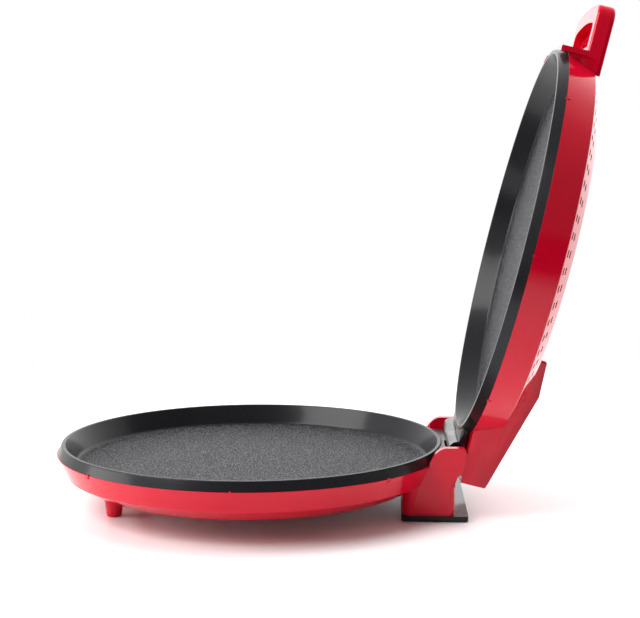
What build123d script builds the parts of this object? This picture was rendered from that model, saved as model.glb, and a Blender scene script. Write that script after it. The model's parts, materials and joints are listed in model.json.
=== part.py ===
"""Electric pizza maker: a round base dish on a stand, and a lid dish that hinges open behind it.

The model is built with the lid closed, X across, Y from the handle back to the hinge, Z up from the
table, and the dishes' common axis at X = 0, Y = 0.  The lid is then turned open about the hinge.
Dish parts are drawn once in dish coordinates, where Z is the depth behind the dish's rim, and are
turned over for the base and lifted for the lid.
"""
from build123d import *
import math
import os

# Dishes
rim_radius = 156.0
rim_land = 3.0
rim_round = 0.9
band_depth = 7.5
band_flare = 3.0
dish_depth = 18.0
dish_wall_run = 8.0
dish_corner = 5.0
dish_floor = 4.0
dish_wall = 3.6
rim_gap = 0.6

# Hinge
hinge_set_back = 7.5
hinge_rise = 1.7
open_angle = 103.6
barrel_radius = 6.8
barrel_half_length = 51.0
barrel_split = 0.5
barrel_mouth = 1.9
pin_radius = 3.0
pin_running_fit = 0.05
pin_inset_near = 6.0
pin_inset_far = 2.0
flange_inset = 2.0
flange_front = 1.0
flange_gap = 1.4
lug_back = 5.0

# Shells: radii are drawn in from the shell's edge, depths run on from the reflector
shell_wall = 2.5
shell_lip = 1.0
base_crease_inset = 7.5
base_crease_rise = 6.0
base_belly_inset = 31.0
base_belly_drop = 5.9
base_bottom_drop = 7.4
table_gap = 13.0
lid_crease_inset = 7.6
lid_crease_rise = 11.7
lid_shoulder_inset = 32.0
lid_shoulder_drop = 8.3
lid_crown_inset = 58.0
lid_crown_edge_drop = 13.1
lid_crown_drop = 16.8
crease_round = 1.6
belly_round = 34.0
tab_count = 8
tab_width = 1.6
tab_height = 0.8
band_fit = 0.05

# Stand and feet
ear_inner_gap = 10.0
ear_thickness = 7.0
ear_rise = 5.0
ear_gap = 0.25
ear_back_length = 12.5
ear_under = (1.6, 16.5)
ear_heel = 21.0
ear_foot = 24.0
ear_front = 22.0
ear_front_rise = 5.0
ear_shoulder = ((18.2, 0.9), (14.6, 4.6), (9.6, 6.7))
post_length = 41.0
post_set_in = 2.0
post_corner_front = 7.4
post_corner_back = 5.5
deck_drop = 9.0
band_clearance = 0.4
plate_margin = 1.0
plate_front_margin = 0.5
plate_tail = 10.5
plate_corner = 3.0
plate_top = 4.7
pad_reach = 0.5
pad_thickness = 2.0
foot_inset_x = 67.0
foot_inset_y = 25.0
foot_top_radius = 8.2
foot_tip_radius = 5.9
foot_core = 4.0
foot_pad_radius = 4.6
foot_core_floor = 2.0
rear_pad_half_length = 42.0
rear_pad_half_width = 4.0
rear_pad_inset = 10.0

# Lid hump and vents
hump_side_gap = 3.0
hump_front_inset = 23.0
hump_front_lean = 1.0
hump_front_depth = 20.0
hump_step_rise = 2.2
hump_ridge_ahead = 58.3
hump_ridge_rise = 3.1
hump_back_behind = 21.3
hump_back_top = 28.6
barrel_clearance = 0.4
hump_round = 2.0
vent_pitch = 5.0
vent_insets = (5.2, 11.2)
vent_length = 5.3
vent_width = 2.9
vent_side_margin = 3.0

# Handle: distances from the dish's axis are counted from the shell's edge
handle_half_width = 58.0
handle_reach = 35.8
handle_bow = 330.0
handle_corner = 11.0
handle_root_inset = 21.0
handle_front = 20.3
handle_back = 34.4
handle_underside = ((8.5, 0.0), (10.0, 6.7), (13.0, 10.5), (22.0, 14.1))
handle_root_step = 1.5
ledge_root_gap = 0.8
handle_outer_round = 4.0
handle_lip = 3.0
handle_lip_round = 2.2
insert_fit = 0.1
insert_floor = 2.2
recess_half_width = 47.0
recess_reach = 21.5
recess_bow = 300.0
recess_corner = 6.0
recess_root_inset = 0.4
recess_wall = 2.3
recess_depth = 7.4
ledge_outer_inset = 4.4
ledge_inner_inset = 8.5
ledge_front = 0.6

# Heating parts behind each dish
element_inset = 50.0
element_tube_radius = 3.25
element_tail_x = 14.0
element_tail_bend = 14.0
element_tail_length = 25.0
bead_length = 6.0
bead_radius = 3.0
terminal_pin_radius = 1.2
terminal_pin_length = 13.0
clamp_angles = (-150.0, -90.0, -30.0, 30.0, 150.0)
clamp_steel = 0.8
clamp_fit = 0.15
clamp_width = 7.0
clamp_foot = 9.0
small_screw_radius = 1.25
small_head_radius = 2.5
small_head = 1.6
small_screw_bite = 2.4
boss_inset = 27.0
boss_angles = (45.0, 135.0, 225.0, 315.0)
boss_radius = 5.0
reflector_clearance = 1.05
reflector_inset = 18.0
reflector_sheet = 0.6
reflector_rim = 2.6
reflector_window = 30.0
reflector_notch_half_width = 28.0
reflector_notch_length = 22.0
thermostat_radius = 7.5
thermostat_cap_radius = 8.2
thermostat_cap = 2.2
thermostat_length = 9.0
thermostat_ear = 13.0
thermostat_ear_width = 8.0
fuse_radius = 2.0
fuse_half_length = 7.0
fuse_y = 15.0
lead_radius = 1.1
lead_bend = 2.4
lead_gap = 0.4
lead_x = 20.0
inner_lead_x = 6.0

# Fasteners and fittings
screw_radius = 2.0
screw_hole_fit = 0.2
screw_head_radius = 3.8
screw_head = 2.2
screw_bite = 5.0
screw_shelf = 3.4
screw_post_radius = 6.5
screw_well_radius = 4.4
foot_screw_inset = 7.0
foot_screw_places = (10.5, 30.5)
foot_screw_bite = 12.0
foot_boss_radius = 5.0
foot_boss_height = 18.0
terminal_block_size = (36.0, 12.0, 12.0)
base_terminal_ahead = 19.5
lid_terminal_behind = 1.5
terminal_spacing = 10.0
terminal_screw_radius = 2.2
terminal_screw_height = 1.5
terminal_screw_side = 3.2
lid_terminal_height = 8.0
gland_x = -42.0
gland_z = 19.0
gland_bore = 3.6
gland_neck = 5.6
gland_flange = 7.6
gland_flange_thick = 1.8
sleeve_radius = 1.5
sleeve_ear_gap = 0.3
sleeve_barrel_gap = 0.7
sleeve_meet_gap = 0.3
sleeve_bend = 2.4
sleeve_deck_ahead = 7.5
lamp_x = 13.0
lamp_set_back = 15.0
lamp_radius = 4.0
lamp_flange = 5.5
lamp_flange_thick = 1.0
lamp_body_radius = 3.2
lamp_body_length = 6.0
lamp_lens_set_back = 0.5
lamp_lens_proud = 0.6
handle_screw_x = 30.0
handle_screw_reach = 6.0
handle_screw_cover = 1.2

# Radii worked out from the dimensions
dish_floor_radius = rim_radius - rim_land - dish_wall_run
band_radius = rim_radius + band_flare
shell_radius = band_radius + shell_lip
element_ring_radius = dish_floor_radius - element_inset
boss_ring_radius = dish_floor_radius - boss_inset
reflector_radius = dish_floor_radius - reflector_inset
vent_rings = [shell_radius - lid_crease_inset - vent_inset for vent_inset in vent_insets]
ear_radius = barrel_radius + barrel_clearance - ear_gap

# Depths behind the rim worked out from the dimensions
floor_back = dish_depth + dish_floor
element_depth = floor_back + element_tube_radius
clamp_back = element_depth + element_tube_radius + clamp_fit + clamp_steel
boss_end = clamp_back + reflector_clearance
reflector_back = boss_end + reflector_sheet
lead_depth = reflector_back + lead_gap + lead_radius
base_bottom = reflector_back + base_bottom_drop
lid_crown = reflector_back + lid_crown_drop
hump_step_top = lid_crown + hump_step_rise
hump_ridge_z = lid_crown + hump_ridge_rise
lid_axis_depth = hinge_rise - rim_gap
hump_floor_depth = lid_axis_depth + barrel_radius + barrel_clearance

# Outlines of the two shells, as (radius, depth) from the edge to the axis
base_crease = (shell_radius - base_crease_inset, dish_depth + base_crease_rise)
base_belly = (shell_radius - base_belly_inset, reflector_back + base_belly_drop)
lid_crease = (shell_radius - lid_crease_inset, dish_depth + lid_crease_rise)
lid_shoulder = (shell_radius - lid_shoulder_inset, reflector_back + lid_shoulder_drop)
lid_crown_edge = (shell_radius - lid_crown_inset, reflector_back + lid_crown_edge_drop)

# Places worked out from the dimensions
rim_height = base_bottom + table_gap
hinge_y = band_radius + hinge_set_back
hinge_z = rim_height + hinge_rise
deck_z = rim_height - deck_drop
flange_half_width = barrel_half_length - flange_inset
ear_inner_x = barrel_half_length + ear_inner_gap
post_half_width = ear_inner_x + ear_thickness
post_back = hinge_y - post_set_in
post_front = post_back - post_length
plate_half_width = post_half_width + plate_margin
plate_front = post_front - plate_front_margin
plate_back = post_back + plate_tail
foot_x = base_belly[0] - foot_inset_x
foot_y = foot_inset_y - base_belly[0]
foot_screw_x = post_half_width - foot_screw_inset
foot_screw_y = [post_front + place for place in foot_screw_places]
hump_half_width = post_half_width - hump_side_gap
hump_front = lid_crown_edge[0] - hump_front_inset
hump_ridge_y = hinge_y - hump_ridge_ahead
hump_back = hinge_y + hump_back_behind
handle_tip = shell_radius + handle_reach
handle_root = shell_radius - handle_root_inset
recess_tip = shell_radius + recess_reach
recess_root = shell_radius - recess_root_inset
ledge_outer = shell_radius - ledge_outer_inset
ledge_inner = shell_radius - ledge_inner_inset
handle_screw_y = shell_radius + handle_screw_reach
element_tail_end = element_ring_radius + element_tail_length
terminal_pin_end = element_tail_end + terminal_pin_length
base_terminal_y = hinge_y - base_terminal_ahead
lid_terminal_y = hinge_y + lid_terminal_behind
sleeve_deck_y = hinge_y - sleeve_deck_ahead
sleeve_base_x = ear_inner_x - sleeve_ear_gap - sleeve_radius
sleeve_lid_x = barrel_half_length + sleeve_barrel_gap + sleeve_radius
lamp_y = hump_front + lamp_set_back


# Small builders
def block(x_range, y_range, z_range):
    """A box between two X, two Y and two Z values."""
    size = [high - low for low, high in (x_range, y_range, z_range)]
    centre = [(high + low) / 2 for low, high in (x_range, y_range, z_range)]
    return Pos(*centre) * Box(*size)


def rod(radius, start, end):
    """A round bar from one point to another."""
    axis = Vector(*end) - Vector(*start)
    return extrude(Plane(origin=start, z_dir=axis) * Circle(radius), axis.length)


def outline(points, rounds=()):
    """A flat face through the points, with some corners rounded: rounds holds (index, radius)."""
    face = make_face(Polyline(*points, close=True))
    for index, radius in rounds:
        corner = face.vertices().sort_by_distance(Vector(*points[index]))[0]
        face = fillet(corner, radius)
    return face


def turned(points, rounds=()):
    """A solid turned about Z from (radius, height) points."""
    return revolve(Plane.XZ * outline(points, rounds), Axis.Z)


def side_plate(points, x_range, rounds=()):
    """A solid with a (y, z) outline between two X values."""
    low, high = x_range
    return extrude(Plane.YZ.offset(low) * outline(points, rounds), high - low)


def tube_along(points, radius, bend):
    """A round lead or sleeve through the points, with every corner bent to one radius."""
    path = FilletPolyline(*points, radius=bend)
    return sweep(Plane(origin=path @ 0, z_dir=path % 0) * Circle(radius), path=path)


def meeting_point(line_a, line_b):
    """Where two lines of the (radius, height) plane cross, each given by two points."""
    (p, q), (r, s) = line_a, line_b
    along_a = q - p
    along_b = s - r
    share = (r - p).cross(along_b).Z / along_a.cross(along_b).Z
    return p + along_a * share


def inset(points, wall, overrun):
    """The points of an open outline moved inwards by the wall, its first one carried past the edge."""
    lines = []
    for start, end in zip(points, points[1:]):
        along = Vector(*end) - Vector(*start)
        inward = Vector(-along.Y, along.X).normalized() * wall
        lines.append((Vector(*start) + inward, Vector(*end) + inward))
    edge_height = points[0][1] - overrun
    edge = (Vector(0, edge_height), Vector(1, edge_height))
    axis = (Vector(0, 0), Vector(0, 1))
    ends = [edge] + lines + [axis]
    met = [meeting_point(first, second) for first, second in zip(ends, ends[1:])]
    return [(point.X, point.Y) for point in met]


def around(piece, angles, radius):
    """Copies of a piece carried out along X by the radius and turned about Z to each angle."""
    return [Rot(0, 0, angle) * (Pos(radius, 0, 0) * piece) for angle in angles]


def solids_of(pieces):
    """Every solid in a list of pieces."""
    return [solid for piece in pieces for solid in piece.solids()]


# Dish
def wall_radius(depth):
    """Radius of the dish's inner wall at a depth behind its rim."""
    inner_rim = rim_radius - rim_land
    return inner_rim + (dish_floor_radius - inner_rim) * depth / dish_depth


def dish(axis_depth, knuckle_sign, lug_depth):
    """A cooking dish with its rear flange and its half of the hinge barrel."""
    slant = math.hypot(dish_depth, wall_radius(0) - dish_floor_radius) / dish_depth
    wall_across = dish_wall * slant
    body = turned(
        [
            (0, dish_depth),
            (dish_floor_radius, dish_depth),
            (wall_radius(0), 0),
            (rim_radius, 0),
            (band_radius, band_depth),
            (wall_radius(band_depth) + wall_across, band_depth),
            (wall_radius(floor_back) + wall_across, floor_back),
            (0, floor_back),
        ],
        [(1, dish_corner), (2, rim_round), (3, rim_round), (6, dish_corner)],
    )
    flange_back = hinge_y - barrel_radius - flange_gap
    flange = block((-flange_half_width, flange_half_width), (0, flange_back), (flange_front, band_depth))
    flange -= turned([(0, -1), (wall_radius(-1) + rim_land / 2, -1), (wall_radius(floor_back), floor_back),
                      (0, floor_back)])
    body += flange
    inner_end = barrel_split / 2
    near, far = knuckle_sign * inner_end, knuckle_sign * barrel_half_length
    x_range = (min(near, far), max(near, far))
    lug_end = flange_half_width * knuckle_sign
    lug_range = (min(near, lug_end), max(near, lug_end))
    lug = block(lug_range, (flange_back - 1, hinge_y), (flange_front, lug_depth))
    axis_y = (hinge_y, axis_depth)
    body += lug + rod(barrel_radius, (x_range[0], *axis_y), (x_range[1], *axis_y))
    return body, x_range


def bored(body, x_range, axis_depth, bore_radius, open_sign):
    """The hinge bore through a knuckle, opened out at its outer end."""
    start = (x_range[0] - 1, hinge_y, axis_depth)
    end = (x_range[1] + 1, hinge_y, axis_depth)
    body -= rod(bore_radius, start, end)
    mouth_x = open_sign * barrel_half_length
    cone = Cone(bore_radius, bore_radius + barrel_mouth, barrel_mouth)
    middle = (mouth_x - open_sign * barrel_mouth / 2, hinge_y, axis_depth)
    return body - Plane(origin=middle, z_dir=(open_sign, 0, 0)) * cone


def dish_fixings(body):
    """Bosses and blind screw holes on the back of a dish."""
    boss = Pos(0, 0, (floor_back + boss_end) / 2) * Cylinder(boss_radius, boss_end - floor_back)
    hole = rod(screw_radius, (0, 0, boss_end - screw_bite), (0, 0, boss_end))
    body = body + around(boss, boss_angles, boss_ring_radius) - around(hole, boss_angles, boss_ring_radius)
    small_hole = rod(small_screw_radius, (0, 0, floor_back - small_screw_bite), (0, 0, floor_back))
    for angle in clamp_angles:
        body -= Rot(0, 0, angle) * (Pos(clamp_screw_radius(), 0, 0) * small_hole)
    for side in (-1, 1):
        body -= Pos(0, side * thermostat_ear, 0) * small_hole
    return body


# Heating parts, in dish coordinates
def clamp_screw_radius():
    """Distance of the clamp screws from the dish's axis."""
    return element_ring_radius - element_tube_radius - clamp_foot + small_head_radius + clamp_steel


def heating_element():
    """A round tubular element: one loop with two tails that run back side by side."""
    bend_y = math.sqrt((element_ring_radius + element_tail_bend) ** 2
                       - (element_tail_x + element_tail_bend) ** 2)
    share = element_ring_radius / (element_ring_radius + element_tail_bend)
    edges = []
    for side in (1, -1):
        centre = Vector(side * (element_tail_x + element_tail_bend), bend_y, element_depth)
        touch = Vector(centre.X * share, centre.Y * share, element_depth)
        tail = Vector(side * element_tail_x, bend_y, element_depth)
        end = Vector(side * element_tail_x, element_tail_end, element_depth)
        toward = ((touch - centre).normalized() + (tail - centre).normalized()).normalized()
        middle = centre + toward * element_tail_bend
        edges += [Line(end, tail), ThreePointArc(tail, middle, touch)]
        if side > 0:
            first_touch = touch
    bottom = Vector(0, -element_ring_radius, element_depth)
    edges.append(ThreePointArc(first_touch, bottom, touch))
    path = Wire(edges)
    start = Vector(element_tail_x, element_tail_end, element_depth)
    return sweep(Plane(origin=start, z_dir=(0, -1, 0)) * Circle(element_tube_radius), path=path)


def element_beads():
    """Ceramic beads that close the ends of the element."""
    beads = []
    for side in (-1, 1):
        start = (side * element_tail_x, element_tail_end, element_depth)
        end = (side * element_tail_x, element_tail_end + bead_length, element_depth)
        beads.append(rod(bead_radius, start, end) - rod(terminal_pin_radius, start, end))
    return beads


def element_pins():
    """Terminal pins through the beads."""
    pins = []
    for side in (-1, 1):
        start = (side * element_tail_x, element_tail_end, element_depth)
        pins.append(rod(terminal_pin_radius, start, (start[0], terminal_pin_end, element_depth)))
    return pins


def element_clamps():
    """Strap clamps that hold the element against the dish."""
    inner = element_tube_radius + clamp_fit
    outer = inner + clamp_steel
    length = (-clamp_width / 2, clamp_width / 2)
    strap = rod(outer, (0, length[0], element_depth), (0, length[1], element_depth))
    strap -= block((-outer, outer), length, (element_depth - outer, element_depth))
    strap += block((-outer, outer), length, (floor_back, element_depth))
    strap += block((-element_tube_radius - clamp_foot, 0), length, (floor_back, floor_back + clamp_steel))
    strap -= rod(inner, (0, length[0], element_depth), (0, length[1], element_depth))
    strap -= block((-inner, inner), length, (floor_back, element_depth))
    screw_x = clamp_screw_radius() - element_ring_radius
    strap -= rod(small_screw_radius, (screw_x, 0, floor_back), (screw_x, 0, floor_back + clamp_steel))
    return around(strap, clamp_angles, element_ring_radius)


def small_screw(seat):
    """A small pan-head screw whose head sits at the seat depth and whose tip is in the dish floor."""
    shank = rod(small_screw_radius, (0, 0, floor_back - small_screw_bite), (0, 0, seat))
    return shank + rod(small_head_radius, (0, 0, seat), (0, 0, seat + small_head))


def clamp_screws():
    """One screw for each element clamp."""
    return around(small_screw(floor_back + clamp_steel), clamp_angles, clamp_screw_radius())


def reflector():
    """A thin heat shield behind the element, with a window for the thermostat."""
    sheet = turned([
        (0, boss_end),
        (reflector_radius - reflector_sheet, boss_end),
        (reflector_radius - reflector_sheet, boss_end - reflector_rim),
        (reflector_radius, boss_end - reflector_rim),
        (reflector_radius, reflector_back),
        (0, reflector_back),
    ])
    sheet -= rod(reflector_window, (0, 0, boss_end - 1), (0, 0, reflector_back + 1))
    sheet -= block((-reflector_notch_half_width, reflector_notch_half_width),
                   (reflector_radius - reflector_notch_length, reflector_radius + 1),
                   (boss_end - reflector_rim - 1, reflector_back + 1))
    hole = rod(screw_radius + screw_hole_fit, (0, 0, boss_end - 1), (0, 0, reflector_back + 1))
    return sheet - around(hole, boss_angles, boss_ring_radius)


def thermostat_cap_piece():
    """The thermostat's metal cap with its two screw ears, flat on the dish."""
    cap = rod(thermostat_cap_radius, (0, 0, floor_back), (0, 0, floor_back + thermostat_cap))
    reach = thermostat_ear + small_head_radius + clamp_steel
    ears = block((-thermostat_ear_width / 2, thermostat_ear_width / 2), (-reach, reach),
                 (floor_back, floor_back + clamp_steel))
    cap += ears
    for side in (-1, 1):
        cap -= rod(small_screw_radius, (0, side * thermostat_ear, floor_back),
                   (0, side * thermostat_ear, floor_back + clamp_steel))
    return cap


def thermostat_body():
    """The thermostat's moulded body behind its cap."""
    start = floor_back + thermostat_cap
    return rod(thermostat_radius, (0, 0, start), (0, 0, floor_back + thermostat_length))


def thermostat_screws():
    """The two screws of the thermostat."""
    screw = small_screw(floor_back + clamp_steel)
    return [Pos(0, side * thermostat_ear, 0) * screw for side in (-1, 1)]


def thermal_fuse():
    """A one-shot thermal fuse that lies against the dish beside the thermostat."""
    depth = floor_back + fuse_radius
    y = fuse_y + small_head_radius + fuse_radius
    return rod(fuse_radius, (-fuse_half_length, y, depth), (fuse_half_length, y, depth))


def dish_leads(terminal_y, terminal_depth, turn_depth):
    """Leads from the element, the fuse and the thermostat to the three terminals."""
    fuse_depth = floor_back + fuse_radius
    fuse_row = fuse_y + small_head_radius + fuse_radius
    body_depth = floor_back + thermostat_length - 2 * lead_radius
    behind_pin = terminal_pin_end + 7
    notch_depth = reflector_back - 3 * lead_radius
    notch_y = reflector_radius - reflector_notch_length
    riser_x = lead_x - 3
    routes = [
        [
            (element_tail_x, terminal_pin_end, element_depth),
            (element_tail_x, behind_pin, element_depth),
            (terminal_spacing, terminal_y, element_depth),
            (terminal_spacing, terminal_y, terminal_depth),
        ],
        [
            (-element_tail_x, terminal_pin_end, element_depth),
            (-element_tail_x, behind_pin, element_depth),
            (-lead_x, behind_pin, notch_depth),
            (-lead_x, notch_y + 17, notch_depth),
            (-lead_x, notch_y + 4, lead_depth),
            (-lead_x, fuse_row, lead_depth),
            (-riser_x, fuse_row, fuse_depth),
            (-fuse_half_length, fuse_row, fuse_depth),
        ],
        [
            (fuse_half_length, fuse_row, fuse_depth),
            (riser_x, fuse_row, fuse_depth),
            (riser_x, 0, body_depth),
            (thermostat_radius, 0, body_depth),
        ],
        [
            (-thermostat_radius, 0, body_depth),
            (-thermostat_radius - 6.5, 0, body_depth),
            (-thermostat_radius - 6.5, 10, lead_depth),
            (-inner_lead_x, fuse_row + 7, lead_depth),
            (-inner_lead_x, notch_y + 4, lead_depth),
            (-inner_lead_x, notch_y + 17, notch_depth),
            (0, terminal_y, turn_depth),
            (0, terminal_y, terminal_depth),
        ],
    ]
    return [tube_along(route, lead_radius, lead_bend) for route in routes]


# Shells, in dish coordinates
def band_cone(clearance):
    """The space that a dish's outer band takes, with a clearance round it."""
    return turned([
        (0, -1),
        (rim_radius + clearance, -1),
        (rim_radius + clearance, 0),
        (band_radius + clearance, band_depth),
        (0, band_depth),
    ])


def shell_forms(points, rounds):
    """A shell's outer form and its cavity, from the outline between the edge and the axis."""
    outer = turned(points + [(0, band_depth)], rounds)
    inner = inset(points, shell_wall, 2.0)
    cavity = turned(inner + [(0, inner[0][1])], rounds)
    return outer, cavity


def edge_tabs():
    """Small hooks on a shell's edge that hold the dish's band."""
    tab = block((rim_radius, shell_radius), (-tab_width / 2, tab_width / 2),
                (band_depth - tab_height, band_depth + shell_wall))
    angles = [index * 360 / tab_count for index in range(tab_count) if index * 4 != tab_count]
    inside = rod(shell_radius - shell_wall, (0, 0, band_depth), (0, 0, band_depth + shell_wall))
    return [piece - band_cone(band_fit) - inside for piece in around(tab, angles, 0)]


# Placing
def to_base(piece):
    """Turn a piece in dish coordinates over and set it in the base."""
    return Pos(0, 0, rim_height) * mirror(piece, about=Plane.XY)


def to_lid(piece):
    """Set a piece in dish coordinates in the closed lid."""
    return Pos(0, 0, rim_height + rim_gap) * piece


# Base
def stand_outline(margin):
    """Plan of the stand's post, drawn in by a margin."""
    half = post_half_width - margin
    front = post_front + margin
    back = post_back - margin
    points = [(-half, front), (half, front), (half, back), (-half, back)]
    rounds = [(0, post_corner_front - margin), (1, post_corner_front - margin),
              (2, post_corner_back - margin), (3, post_corner_back - margin)]
    return outline(points, rounds)


def ear_plate(x_range):
    """One of the two ears beside the hinge, seen from the side; its back runs close to the open lid."""
    turn = math.radians(open_angle - 90)
    top = hinge_z + ear_rise
    shoulder = (hinge_y + math.sqrt(ear_radius ** 2 - ear_rise ** 2), top)
    bulge = (hinge_y + ear_radius, hinge_z)
    tangent = (hinge_y + ear_radius * math.cos(turn), hinge_z - ear_radius * math.sin(turn))
    lower = (tangent[0] - ear_back_length * math.sin(turn), tangent[1] - ear_back_length * math.cos(turn))
    under = (post_back + ear_under[0], rim_height - ear_under[1])
    heel = (post_back, rim_height - ear_heel)
    foot_z = rim_height - ear_foot
    front_y = hinge_y - ear_front
    curve = [(hinge_y - ahead, rim_height + rise) for ahead, rise in ear_shoulder]
    side = [
        Polyline(lower, under, heel, (post_back, foot_z), (front_y, foot_z),
                 (front_y, rim_height - ear_front_rise), curve[0]),
        ThreePointArc(*curve),
        Line(curve[-1], shoulder),
        ThreePointArc(shoulder, bulge, tangent),
        Line(tangent, lower),
    ]
    face = make_face([edge for piece in side for edge in piece.edges()])
    return extrude(Plane.YZ.offset(x_range[0]) * face, x_range[1] - x_range[0])


def base_points():
    """Outline of the base shell from its edge to the axis."""
    return [(shell_radius, band_depth), base_crease, base_belly, (0, base_bottom)]


def make_base_housing():
    """The red base moulding: bowl, stand, ears, feet and screw posts."""
    rounds = [(1, crease_round), (2, belly_round)]
    outer, cavity = [to_base(form) for form in shell_forms(base_points(), rounds)]
    body = outer + extrude(Pos(0, 0, plate_top) * stand_outline(0), deck_z - plate_top)
    for side in (-1, 1):
        faces = (side * ear_inner_x, side * post_half_width)
        body += ear_plate((min(faces), max(faces)))
    foot_height = rim_height - base_belly[1] + 1
    for side in (-1, 1):
        cone = Cone(foot_tip_radius, foot_top_radius, foot_height - pad_reach)
        body += Pos(side * foot_x, foot_y, (foot_height + pad_reach) / 2) * cone
    body -= cavity
    body -= extrude(Pos(0, 0, plate_top) * stand_outline(shell_wall), deck_z - shell_wall - plate_top)
    body -= rod(band_radius + band_clearance, (0, 0, rim_height - band_depth), (0, 0, rim_height + 20))
    body += [to_base(tab) for tab in edge_tabs()]
    screw_hole = screw_radius + screw_hole_fit
    post_end = rim_height - reflector_back
    seat = post_end - screw_shelf
    inner_bottom = rim_height - base_bottom
    for angle in boss_angles:
        place = Rot(0, 0, angle) * Pos(boss_ring_radius, 0, 0)
        body += place * rod(screw_post_radius, (0, 0, inner_bottom + shell_wall), (0, 0, post_end))
        body -= place * rod(screw_hole, (0, 0, 0), (0, 0, post_end + 1))
        body -= place * rod(screw_well_radius, (0, 0, 0), (0, 0, seat))
    for side in (-1, 1):
        place = Pos(side * foot_x, foot_y, 0)
        core_floor = pad_thickness + foot_core_floor
        body -= place * rod(foot_core, (0, 0, core_floor), (0, 0, foot_height + shell_wall))
        body -= place * rod(foot_pad_radius, (0, 0, 0), (0, 0, pad_thickness))
        for y in foot_screw_y:
            boss = rod(foot_boss_radius, (0, 0, plate_top), (0, 0, plate_top + foot_boss_height))
            hole = rod(screw_radius, (0, 0, plate_top), (0, 0, plate_top + foot_screw_bite))
            body = body + Pos(side * foot_screw_x, y, 0) * boss - Pos(side * foot_screw_x, y, 0) * hole
    body -= rod(gland_neck, (gland_x, post_back - shell_wall - 1, gland_z), (gland_x, post_back + 1, gland_z))
    body -= rod(sleeve_radius, (sleeve_base_x, sleeve_deck_y, deck_z - shell_wall - 1),
                (sleeve_base_x, sleeve_deck_y, deck_z + 1))
    return body


def make_base_screws():
    """Four screws that hold the dish, the reflector and the base moulding together."""
    seat = rim_height - reflector_back - screw_shelf
    tip = rim_height - boss_end + screw_bite
    screw = rod(screw_radius, (0, 0, seat), (0, 0, tip))
    screw += rod(screw_head_radius, (0, 0, seat - screw_head), (0, 0, seat))
    return around(screw, boss_angles, boss_ring_radius)


def make_foot_plate():
    """The black plate that closes the stand and carries the rear pads."""
    points = [(-plate_half_width, plate_front), (plate_half_width, plate_front),
              (plate_half_width, plate_back), (-plate_half_width, plate_back)]
    face = outline(points, [(index, plate_corner) for index in range(4)])
    plate = extrude(Pos(0, 0, pad_reach) * face, plate_top - pad_reach)
    for pad in make_rear_pads():
        plate -= pad
    for side in (-1, 1):
        for y in foot_screw_y:
            place = Pos(side * foot_screw_x, y, 0)
            head_hole = screw_head_radius + screw_hole_fit
            plate -= place * rod(screw_radius + screw_hole_fit, (0, 0, 0), (0, 0, plate_top))
            plate -= place * rod(head_hole, (0, 0, 0), (0, 0, pad_reach + screw_head))
    return plate


def make_foot_plate_screws():
    """Four screws up through the foot plate into the stand."""
    seat = pad_reach + screw_head
    screw = rod(screw_head_radius, (0, 0, pad_reach), (0, 0, seat))
    screw += rod(screw_radius, (0, 0, seat), (0, 0, plate_top + foot_screw_bite))
    return [Pos(side * foot_screw_x, y, 0) * screw for side in (-1, 1) for y in foot_screw_y]


def make_rear_pads():
    """Two rubber strips let into the underside of the foot plate."""
    length = (-rear_pad_half_length, rear_pad_half_length)
    rows = (plate_front + rear_pad_inset, plate_back - rear_pad_inset)
    return [block(length, (y - rear_pad_half_width, y + rear_pad_half_width), (0, pad_thickness))
            for y in rows]


def make_front_foot_pads():
    """Rubber pads in the ends of the two front feet."""
    return [Pos(side * foot_x, foot_y, 0) * rod(foot_pad_radius, (0, 0, 0), (0, 0, pad_thickness))
            for side in (-1, 1)]


def terminal_block(y, low, height):
    """A moulded terminal block with its floor at the low height."""
    length, width, _ = terminal_block_size
    body = block((-length / 2, length / 2), (y - width / 2, y + width / 2), (low, low + height))
    for index in (-1, 0, 1):
        place = Pos(index * terminal_spacing, y + terminal_screw_side, low)
        body -= place * rod(terminal_screw_radius, (0, 0, height / 2), (0, 0, height))
    return body


def terminal_screws(y, low, height):
    """Brass screws in the wells of a terminal block."""
    screws = []
    for index in (-1, 0, 1):
        start = (index * terminal_spacing, y + terminal_screw_side, low + height / 2)
        end = (start[0], start[1], low + height - terminal_screw_height)
        screws.append(rod(terminal_screw_radius, start, end))
    return screws


def make_cord_gland():
    """The bush in the back of the stand that the supply cord comes through."""
    inner = post_back - shell_wall
    start = inner - gland_flange_thick
    end = post_back + gland_flange_thick
    gland = rod(gland_neck, (gland_x, start, gland_z), (gland_x, end, gland_z))
    gland += rod(gland_flange, (gland_x, start, gland_z), (gland_x, inner, gland_z))
    gland += rod(gland_flange, (gland_x, post_back, gland_z), (gland_x, end, gland_z))
    return gland - rod(gland_bore, (gland_x, start - 1, gland_z), (gland_x, end + 1, gland_z))


def base_supply_lead():
    """The lead from the base's terminal block up to the sleeve at the hinge."""
    length, _, height = terminal_block_size
    z = plate_top + height / 2
    return tube_along(
        [
            (length / 2, base_terminal_y, z),
            (sleeve_base_x - 14, base_terminal_y, z),
            (sleeve_base_x - 14, sleeve_deck_y, z + 8),
            (sleeve_base_x, sleeve_deck_y, z + 14),
            (sleeve_base_x, sleeve_deck_y, deck_z - shell_wall),
        ],
        lead_radius,
        lead_bend,
    )


def make_base_lead_sleeve():
    """The sleeve that brings the lid's leads up to the hinge axis."""
    meet_x = (sleeve_base_x + sleeve_lid_x) / 2 + sleeve_meet_gap / 2
    return tube_along(
        [
            (sleeve_base_x, sleeve_deck_y, deck_z - shell_wall),
            (sleeve_base_x, sleeve_deck_y, deck_z + 4),
            (sleeve_base_x, hinge_y, hinge_z),
            (meet_x, hinge_y, hinge_z),
        ],
        sleeve_radius,
        sleeve_bend,
    )


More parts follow.
